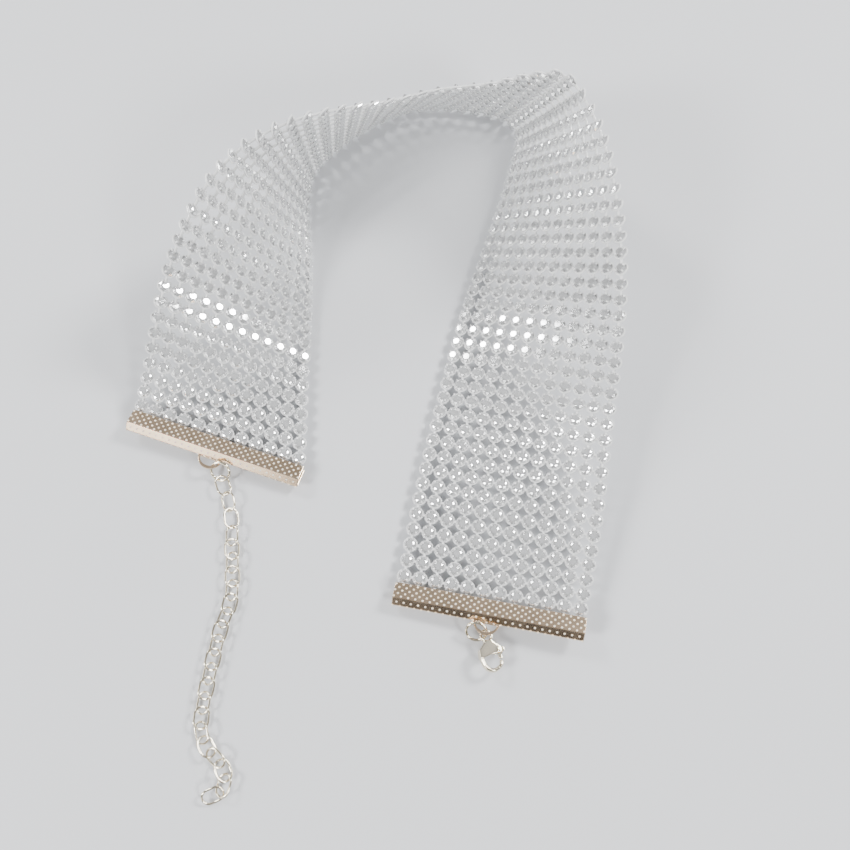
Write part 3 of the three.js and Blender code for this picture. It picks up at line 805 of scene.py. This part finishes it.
class CHOKER_OT_net(bpy.types.Operator):
    """Makes the net of stones in its two halves"""

    bl_idname = "choker.net"
    bl_label = "Net of stones"

    def execute(self, context):
        stone = new_object("stone_pattern", stone_shape())
        cup = new_object("cup_pattern", cup_shape())
        tree = net_tree()
        for end in ("right", "left"):
            mesh = run_tree(tree, net_guide(end), {
                "Stone": stone, "Cup": cup, "Thread width": sizes().thread_width,
                "Stone finish": finish_named("clear_stone"), "Cup finish": finish_named("clear_cup")})
            finish_piece("net_" + end, mesh, (), "choker", ["band_" + end])
        bpy.data.objects.remove(stone)
        bpy.data.objects.remove(cup)
        return {"FINISHED"}


# Clamps


def arc(centre, radius, start, end, count):
    """Places along an arc, both ends included."""
    turns = np.linspace(start, end, count)
    return [(centre[0] + radius * math.cos(t), centre[1] + radius * math.sin(t)) for t in turns]


def clamp_shell():
    """The folded channel, its edges rounded."""
    half = CLAMP_THICKNESS / 2
    inner = half - CLAMP_WALL
    back = CLAMP_FOLD - FOLD_ROUND
    outline = [(CLAMP_LIP, half), (CLAMP_LIP, inner)]
    outline += [(CLAMP_FOLD - FOLD_LEAN - CLAMP_WALL / 2, inner), (back + CLAMP_WALL / 2, -inner / 2)]
    outline += [(back, -inner), (CLAMP_LIP, -inner), (CLAMP_LIP, -half)]
    outline += arc((back, FOLD_ROUND - half), FOLD_ROUND, -math.pi / 2, 0, 9)
    outline += [(CLAMP_FOLD - FOLD_LEAN, half)]
    shell = prism("clamp", outline, -CLAMP_LENGTH / 2, CLAMP_LENGTH / 2)
    axes = Matrix(((0, 0, 1), (1, 0, 0), (0, 1, 0))).to_4x4()
    shell.transform(axes)
    return bevelled(face_outwards(shell), CLAMP_EDGE)


def clamp_tab():
    """The half round tab with its hole."""
    count = 21
    outer_half = TAB_WIDTH / 2
    hole_half = outer_half - TAB_BAR
    hole_foot = 2 * CLAMP_WALL + CLAMP_LIP
    hole_reach = TAB_REACH - TAB_BAR - hole_foot
    turns = np.linspace(0, math.pi, count)
    outer = [(outer_half * math.cos(t), TAB_REACH * math.sin(t)) for t in turns]
    outer += [(x, 0) for x in np.linspace(-outer_half, outer_half, 9)[1:-1]]
    inner = [(hole_half * math.cos(t), hole_foot + hole_reach * math.sin(t)) for t in turns]
    inner += [(x, hole_foot) for x in np.linspace(-hole_half, hole_half, 9)[1:-1]]
    size = len(outer)
    low, high = TAB_LOW, TAB_LOW + TAB_THICKNESS
    places = [(x, y + TAB_FOOT, z) for z in (low, high) for x, y in outer + inner]
    faces = []
    for k in range(size):
        after = (k + 1) % size
        for base in (0, 2 * size):
            faces.append((base + k, base + after, base + size + after, base + size + k))
        for ring in (0, size):
            faces.append((ring + k, ring + after, 2 * size + ring + after, 2 * size + ring + k))
    return bevelled(face_outwards(mesh_from("tab", places, faces)), TAB_EDGE, 3)


def dot_points():
    """Places, directions and faces of the raised dots on the flap, the fold and the under side."""
    points = []
    half = CLAMP_THICKNESS / 2
    along = Vector((1, 0, 0))
    count = int(CLAMP_LENGTH / DOT_PITCH)

    def add_row(place, face, shifted):
        for k in range(count if shifted else count + 1):
            x = (k - (count - (1 if shifted else 0)) / 2) * DOT_PITCH
            points.append((Vector((x, place[0], place[1])), along, face, True))

    for row in range(FLAP_ROWS):
        y = CLAMP_LIP + DOT_START + row * DOT_ROW
        add_row((y, half), Vector((0, 0, 1)), row % 2)
        add_row((y, -half), Vector((0, 0, -1)), row % 2)
    lean = Vector((0, 2 * half - FOLD_ROUND, FOLD_LEAN)).normalized()
    add_row((CLAMP_FOLD - FOLD_LEAN / 2, FOLD_ROUND / 2), lean, True)
    add_row((CLAMP_FOLD, FOLD_ROUND - half), Vector((0, 1, 0)), False)
    return points


class CHOKER_OT_clamps(bpy.types.Operator):
    """Makes the two dotted crimp clamps"""

    bl_idname = "choker.clamps"
    bl_label = "Crimp clamps"

    def execute(self, context):
        plate = finish_named("clamp_plate")
        dot = new_object("dot_pattern", dot_shape())
        tree = bpy.data.node_groups.get("Pattern on guide") or pattern_tree()
        # The dots take the lighter plating, a painted highlight
        dots = run_tree(tree, guide_mesh("dot_guide", dot_points()), {
            "Pattern": dot, "Finish": finish_named("dot_plate")})
        bpy.data.objects.remove(dot)
        shell = clamp_shell()
        tab = clamp_tab()
        for part in (shell, tab):
            part.materials.clear()
            part.materials.append(plate)
        for end in ("right", "left"):
            mesh = joined_mesh("clamp", [shell, tab, dots])
            mesh.transform(band_shift @ clamp_frame(end))
            finish_piece("dotted_clamp_" + end, mesh, (), "choker", ["clamp_" + end])
        return {"FINISHED"}


# Rings and chain


class CHOKER_OT_rings(bpy.types.Operator):
    """Makes the two jump rings"""

    bl_idname = "choker.rings"
    bl_label = "Jump rings"

    def execute(self, context):
        for end in ("right", "left"):
            node = "ring_" + end
            centre, axes = node_axes(node)
            normal = axes[2] if axes[2].z > 0 else -axes[2]
            across = Vector((0, 0, 1)).cross(normal).normalized()
            turned = Matrix((across, normal.cross(across), normal)).transposed().to_4x4()
            ring = oval_wire(node, RING_DIAMETER, RING_DIAMETER, sizes().ring_wire, 40, 12, SPLIT_GAP)
            ring.transform(Matrix.Translation(centre) @ turned)
            finish_piece("jump_" + node, ring, [finish_named("wire_plate")], "choker", [node])
        return {"FINISHED"}


class CHOKER_OT_chain(bpy.types.Operator):
    """Makes the extender chain's links"""

    bl_idname = "choker.chain"
    bl_label = "Extender chain"

    def execute(self, context):
        nodes = sorted(name for name in frame["nodes"] if name.startswith("link_"))
        points = []
        for name in nodes:
            centre, axes = node_axes(name)
            points.append((centre, axes[0], axes[2], True))
        wire = oval_wire("link", LINK_LENGTH, LINK_WIDTH, sizes().link_wire, 32, 10)
        link = new_object("link_pattern", wire)
        tree = bpy.data.node_groups.get("Pattern on guide") or pattern_tree()
        mesh = run_tree(tree, guide_mesh("chain_guide", points), {
            "Pattern": link, "Finish": finish_named("wire_plate")})
        bpy.data.objects.remove(link)
        finish_piece("extender_chain", mesh, (), "choker", nodes)
        return {"FINISHED"}


# Clasp


def clasp_place():
    """The clasp's own frame, set by its turned directions and the lever's pin."""
    turned = Euler((CLASP_DIP, CLASP_ROLL, CLASP_TURN)).to_matrix().to_4x4()
    pin = Vector(frame["joints"][0]["pos_m"])
    return Matrix.Translation(pin - turned @ PIVOT) @ turned


def smooth_path(points, count):
    """Centripetal curve through the points, resampled evenly."""
    spline = [points[0] * 2 - points[1]] + points + [points[-1] * 2 - points[-2]]
    places = []
    for k in range(1, len(spline) - 2):
        a, b, c, d = spline[k - 1:k + 3]
        for t in np.linspace(0, 1, 16, endpoint=k == len(spline) - 3):
            places.append(0.5 * (2 * b + (c - a) * t + (2 * a - 5 * b + 4 * c - d) * t * t
                                 + (3 * b - a - 3 * c + d) * t**3))
    table = np.array(places)
    lengths = np.concatenate(([0], np.cumsum(np.linalg.norm(np.diff(table, axis=0), axis=1))))
    even = np.linspace(0, lengths[-1], count)
    return [Vector([float(np.interp(s, lengths, table[:, axis])) for axis in range(3)]) for s in even]


def clasp_hook():
    """The hook, thick at its bend and slimmer at its tip."""
    path = smooth_path([
        Vector((-HOOK_SIDE, SHOULDER_FOOT, 0)),
        Vector((-HOOK_SIDE, -0.66 * HOOK_BOTTOM, 0)),
        Vector((-0.72 * HOOK_SIDE, -0.9 * HOOK_BOTTOM, 0)),
        Vector((0, -HOOK_BOTTOM, 0)),
        Vector((0.8 * HOOK_SIDE, -0.9 * HOOK_BOTTOM, 0)),
        HOOK_TIP,
    ], 40)
    up = Vector((0, 0, 1))
    outs = []
    for k in range(len(path)):
        along = (path[min(k + 1, len(path) - 1)] - path[max(k - 1, 0)]).normalized()
        outs.append(along.cross(up))
    shares = np.linspace(0, 1, len(path))
    slim = [1 - HOOK_TAPER * s**2 for s in shares]
    return swept("hook", path, outs, [up] * len(path), [HOOK_WIRE / 2 * s for s in slim],
                 [(CLASP_THICKNESS / 2 - HOOK_FLAT) * s for s in slim], 20, False)


def shoulder_outline(slotted):
    """Outline of the clasp's shoulder; the slotted one stops short of the lever."""
    top = -EYE_RADIUS + EYE_WIRE / 4
    left = [
        (0.2 * MM, SHOULDER_FOOT), (-HOOK_SIDE + HOOK_WIRE / 2, SHOULDER_HEEL),
        (-HOOK_SIDE - HOOK_WIRE / 2, SHOULDER_HEEL),
        (-HOOK_SIDE - HOOK_WIRE / 2 + 0.2 * MM, PIVOT.y + 0.6 * MM),
        (-SHOULDER_HALF, SHOULDER_TOP), (-NECK_HALF, top), (NECK_HALF, top),
    ]
    if slotted:
        inside = PIVOT.x - LEVER_ROOT - 0.3 * MM
        return left + [(SHOULDER_HALF, SHOULDER_TOP), (inside + 0.9 * MM, PIVOT.y + 1.45 * MM),
                       (inside, PIVOT.y + 1.45 * MM), (inside, SHOULDER_FOOT)]
    cheek = PIVOT.x + CHEEK_REACH
    return left + [(SHOULDER_HALF, SHOULDER_TOP), (cheek, PIVOT.y + 0.7 * MM), (cheek, SHOULDER_FOOT)]


def pin_rod():
    """The lever's pin, with low heads proud of the cheeks."""
    ends = np.array((-1.0, -0.86, 0.86, 1.0)) * (CLASP_THICKNESS / 2 + PIN_HEAD)
    centres = [Vector((PIVOT.x, PIVOT.y, z)) for z in ends]
    radii = [PIN_RADIUS * 0.8, PIN_RADIUS, PIN_RADIUS, PIN_RADIUS * 0.8]
    outs = [Vector((1, 0, 0))] * len(centres)
    ups = [Vector((0, 1, 0))] * len(centres)
    return swept("pin", centres, outs, ups, radii, radii, 16, False)


class CHOKER_OT_clasp(bpy.types.Operator):
    """Makes the lobster clasp's body with its eye and hook"""

    bl_idname = "choker.clasp"
    bl_label = "Lobster clasp"

    def execute(self, context):
        half = CLASP_THICKNESS / 2
        eye = oval_wire("eye", 2 * EYE_RADIUS + EYE_WIRE, 2 * EYE_RADIUS + EYE_WIRE, EYE_WIRE, 40, 14)
        cheeks = [
            prism("cheek", shoulder_outline(False), SLOT_HALF, half),
            prism("cheek", shoulder_outline(False), -half, -SLOT_HALF),
        ]
        middle = prism("middle", shoulder_outline(True), -half, half)
        skin = cast([eye, middle, pin_rod(), clasp_hook()] + cheeks, CAST_GRAIN, BODY_ROUNDS)
        skin.transform(clasp_place())
        plate = finish_named("wire_plate")
        finish_piece("lobster_body", skin, [plate], "choker", ["clasp_body"])
        return {"FINISHED"}


class CHOKER_OT_lever(bpy.types.Operator):
    """Makes the clasp's sprung lever"""

    bl_idname = "choker.lever"
    bl_label = "Clasp lever"

    def execute(self, context):
        tip_y = HOOK_TIP.y + LEVER_REACH
        outline = arc((PIVOT.x, PIVOT.y), LEVER_ROOT, math.pi, math.pi / 4, 12)
        outline += [
            (PIVOT.x + LEVER_ROOT + 1.0 * MM, PIVOT.y + 0.5 * MM),
            (PIVOT.x + LEVER_ROOT + 0.9 * MM, PIVOT.y - 0.3 * MM),
            (HOOK_TIP.x + HOOK_WIRE / 2 - 0.1 * MM, PIVOT.y - 1.3 * MM),
            (HOOK_TIP.x + HOOK_WIRE / 2 - 0.1 * MM, tip_y),
            (HOOK_TIP.x - HOOK_WIRE / 2 + 0.3 * MM, tip_y),
            (HOOK_TIP.x - HOOK_WIRE / 2 + 0.1 * MM, PIVOT.y - 1.3 * MM),
        ]
        bar = prism("lever", outline, -LEVER_THICKNESS / 2, LEVER_THICKNESS / 2)
        skin = cast([bar], CAST_GRAIN, LEVER_ROUNDS)
        skin.transform(clasp_place())
        plate = finish_named("wire_plate")
        finish_piece("lobster_lever", skin, [plate], "lever", ["clasp_lever"])
        return {"FINISHED"}


# Stage


def area_light(name, place, aim, size, energy):
    """A square soft light that points at a place."""
    light = bpy.data.lights.new(name, "AREA")
    light.size = size
    light.energy = energy
    obj = bpy.data.objects.new(name, light)
    bpy.context.scene.collection.objects.link(obj)
    obj.location = place
    obj.rotation_euler = (Vector(aim) - Vector(place)).to_track_quat("-Z", "Y").to_euler()


class CHOKER_OT_stage(bpy.types.Operator):
    """Makes the floor, the lights and the camera"""

    bl_idname = "choker.stage"
    bl_label = "Floor, lights and camera"

    def execute(self, context):
        half = FLOOR_SIZE / 2
        corners = [(-half, -half, 0), (half, -half, 0), (half, half, 0), (-half, half, 0)]
        floor = new_object("floor", mesh_from("floor", corners, [(0, 1, 2, 3)]))
        finish, tree, shader = new_finish("pale_floor", tuple(colours().floor), 0.6, Sheen_Weight=0.2)
        bump(tree, shader, noise(tree, scale=9, detail=1.0), strength=0.35, distance=8 * MM)
        floor.data.materials.append(finish)
        scene = context.scene
        world = bpy.data.worlds.new("studio")
        world.use_nodes = True
        sky = world.node_tree
        background = sky.nodes["Background"]
        way = add_node(sky, "ShaderNodeTexCoord")
        height = add_node(sky, "ShaderNodeSeparateXYZ", {"Vector": way.outputs["Generated"]})
        bright = add_node(sky, "ShaderNodeMapRange", {
            "Value": height.outputs["Z"], "From Min": SKY_LOW[0], "From Max": SKY_HIGH[0],
            "To Min": SKY_LOW[1], "To Max": SKY_HIGH[1]})
        sky.links.new(bright.outputs[0], background.inputs["Strength"])
        background.inputs["Color"].default_value = SKY_COLOUR
        scene.world = world
        for light in LIGHTS:
            area_light(*light)
        camera = bpy.data.cameras.new("camera")
        camera.lens = CAMERA_LENS
        camera.clip_start = 0.01
        view = bpy.data.objects.new("camera", camera)
        scene.collection.objects.link(view)
        view.location = CAMERA_PLACE
        view.rotation_euler = (CAMERA_TILT, 0, 0)
        scene.camera = view
        return {"FINISHED"}


class CHOKER_PT_pieces(bpy.types.Panel):
    """Lists the choker's pieces, sizes and colours"""

    bl_label = "Choker necklace"
    bl_space_type = "VIEW_3D"
    bl_region_type = "UI"
    bl_category = "Choker"

    def draw(self, context):
        for operator in OPERATORS:
            self.layout.operator(operator.bl_idname)
        for group in (context.scene.choker_sizes, context.scene.choker_colours):
            for name in group.__annotations__:
                self.layout.prop(group, name)


OPERATORS = (
    CHOKER_OT_stage, CHOKER_OT_net, CHOKER_OT_clamps, CHOKER_OT_rings,
    CHOKER_OT_chain, CHOKER_OT_clasp, CHOKER_OT_lever,
)
CLASSES = (ChokerSizes, ChokerColours, *OPERATORS, CHOKER_PT_pieces)


def register():
    for one in CLASSES:
        bpy.utils.register_class(one)
    bpy.types.Scene.choker_sizes = PointerProperty(type=ChokerSizes)
    bpy.types.Scene.choker_colours = PointerProperty(type=ChokerColours)


def unregister():
    del bpy.types.Scene.choker_colours
    del bpy.types.Scene.choker_sizes
    for one in reversed(CLASSES):
        bpy.utils.unregister_class(one)


def main():
    register()
    bpy.ops.choker.stage()
    bpy.ops.choker.net()
    bpy.ops.choker.clamps()
    bpy.ops.choker.rings()
    bpy.ops.choker.chain()
    bpy.ops.choker.clasp()
    bpy.ops.choker.lever()


if __name__ == "__main__":
    main()
